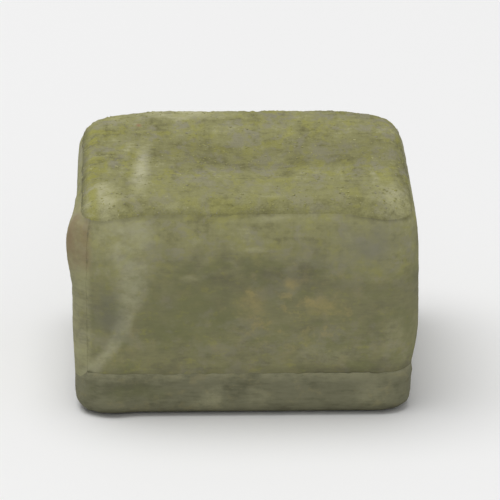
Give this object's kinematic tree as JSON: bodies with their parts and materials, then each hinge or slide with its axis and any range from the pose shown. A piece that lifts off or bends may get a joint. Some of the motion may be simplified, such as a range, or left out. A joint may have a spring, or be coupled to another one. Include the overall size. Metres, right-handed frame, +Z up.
{
  "type": "cue chalk cube",
  "caption": "Used cube of billiard cue chalk: worn pressed block with a shallow hollow, wrapped in a lapped paper side label and a folded base label.",
  "frame": {"origin": "middle of the underside, on the surface the cube stands on", "axes": "+Z up through the hollow that the cue tip is turned in, -Y the front seen in the picture, +X to the right of that front; the side label's lap is at the -X -Y corner"},
  "size_m": [0.0227, 0.0222, 0.0145],
  "materials": {
    "pressed_chalk": "dry, powdery, worn matt",
    "label_paper": "scuffed paper under a film of chalk dust",
    "base_paper": "darker, handled paper"
  },
  "bodies": {
    "root": {"chalk_block": "pressed_chalk", "side_label": "label_paper", "base_label": "base_paper"}
  },
  "joints": []
}
